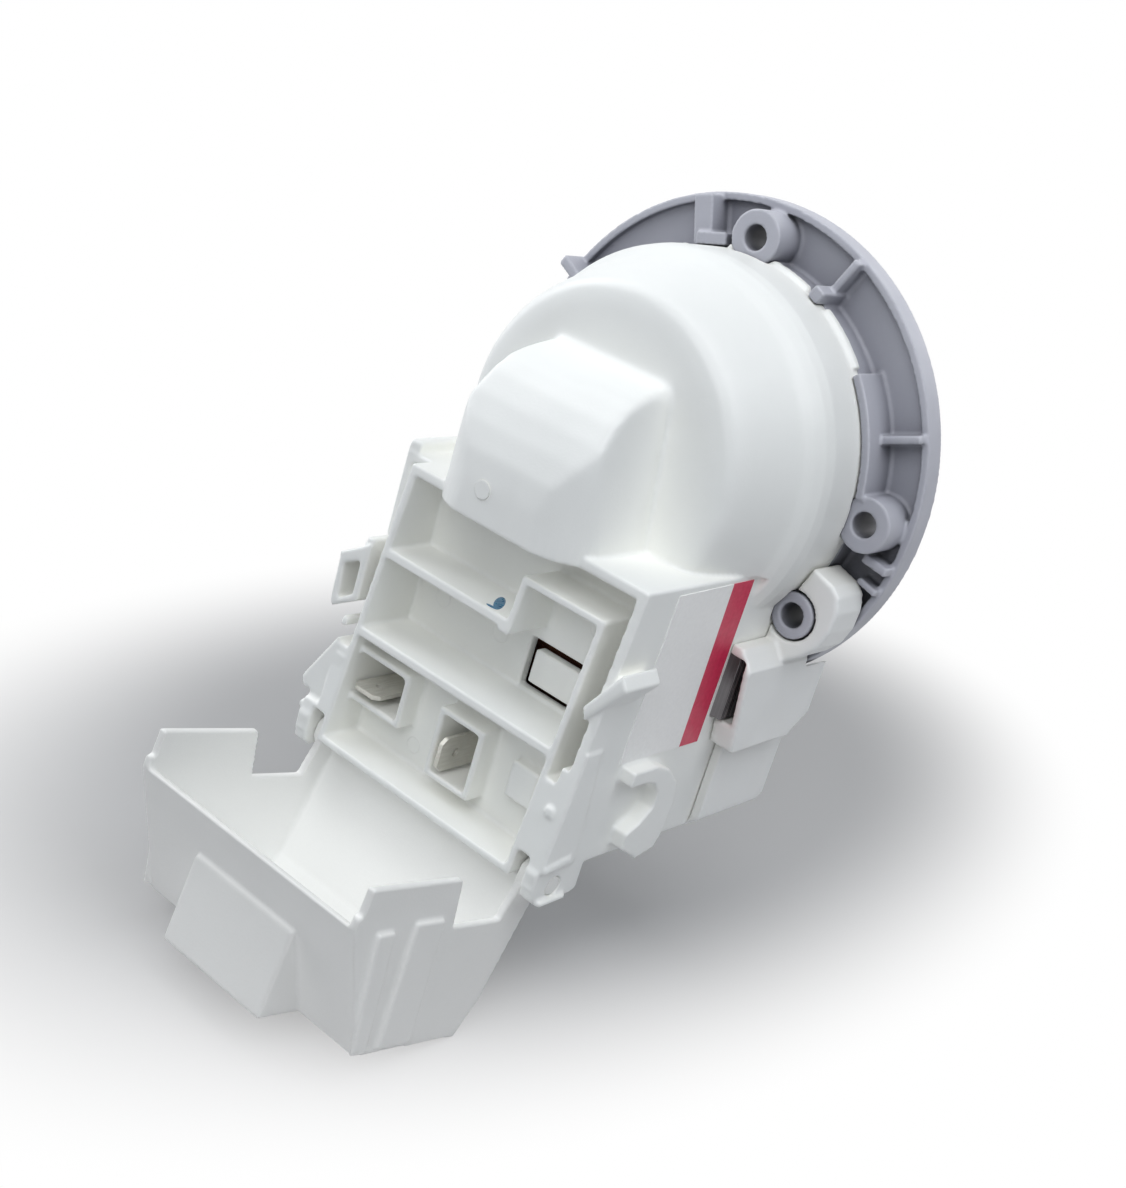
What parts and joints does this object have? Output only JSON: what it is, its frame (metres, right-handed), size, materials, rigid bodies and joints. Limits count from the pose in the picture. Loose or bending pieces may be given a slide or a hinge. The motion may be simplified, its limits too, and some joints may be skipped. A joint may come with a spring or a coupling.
{
  "type": "washing machine drain pump",
  "caption": "Washing machine drain pump: grey ring and head, white motor housing with hood, terminal bay with tabs under an open hinged cover, finned impeller on a magnet rotor",
  "frame": {"origin": "centre of the mounting ring's rear rim circle, on the rotor's axis", "axes": "+Y along the rotor's axis, out of the ring's front towards the washing machine's sump, so the motor is at -Y; +Z away from the terminals; +X to the right of someone who looks along +Y at the motor's back"},
  "size_m": [0.088, 0.1145, 0.1371],
  "materials": {
    "grey_plastic": "injection moulded, faint sheen",
    "dark_plastic": "injection moulded",
    "rubber": "moulded, matt",
    "bearing": "sintered, machined faces",
    "steel": "ground",
    "ferrite": "sintered magnet, dull",
    "ivory_plastic": "injection moulded, natural colour",
    "impeller_plastic": "injection moulded",
    "lamination": "stamped electrical steel, stacked",
    "copper": "enamelled wire, wound",
    "tinned_brass": "stamped, tinned",
    "white_plastic": "injection moulded, satin",
    "cover_plastic": "injection moulded, satin, slightly translucent",
    "sticker": "coated paper, blank"
  },
  "bodies": {
    "housing": {"pump_head": "grey_plastic", "head_seal": "rubber", "bearing_carrier": "dark_plastic", "front_bearing": "bearing", "front_cup": "rubber", "rear_bearing": "bearing", "rear_cup": "rubber", "stator_core": "lamination", "core_bar": "lamination", "coil_bobbin": "ivory_plastic", "coil_winding": "copper", "thermal_cutout": "ivory_plastic", "tab_flat": "tinned_brass", "tab_upright": "tinned_brass", "motor_housing": "white_plastic", "front_shell": "white_plastic", "rating_sticker": "sticker"},
    "cover": {"terminal_cover": "cover_plastic"},
    "rotor": {"rotor_shaft": "steel", "rotor_magnet": "ferrite", "rotor_sleeve": "ivory_plastic", "front_washer": "ivory_plastic", "rear_washer": "ivory_plastic", "drive_dog": "ivory_plastic"},
    "impeller": {"impeller": "impeller_plastic", "impeller_cap": "impeller_plastic"}
  },
  "joints": [
    {"name": "cover_hinge", "type": "hinge", "parent": "housing", "child": "cover", "pos_m": [0, -0.051, -0.064], "axis": [-1, 0, 0], "range_deg": [0, 86]},
    {"name": "rotor_spin", "type": "hinge", "parent": "housing", "child": "rotor", "pos_m": [0, 0, 0], "axis": [0, 1, 0], "continuous": true},
    {"name": "impeller_free_turn", "type": "hinge", "parent": "rotor", "child": "impeller", "pos_m": [0, 0.012, 0], "axis": [0, 1, 0], "range_deg": [-96, 96]}
  ]
}
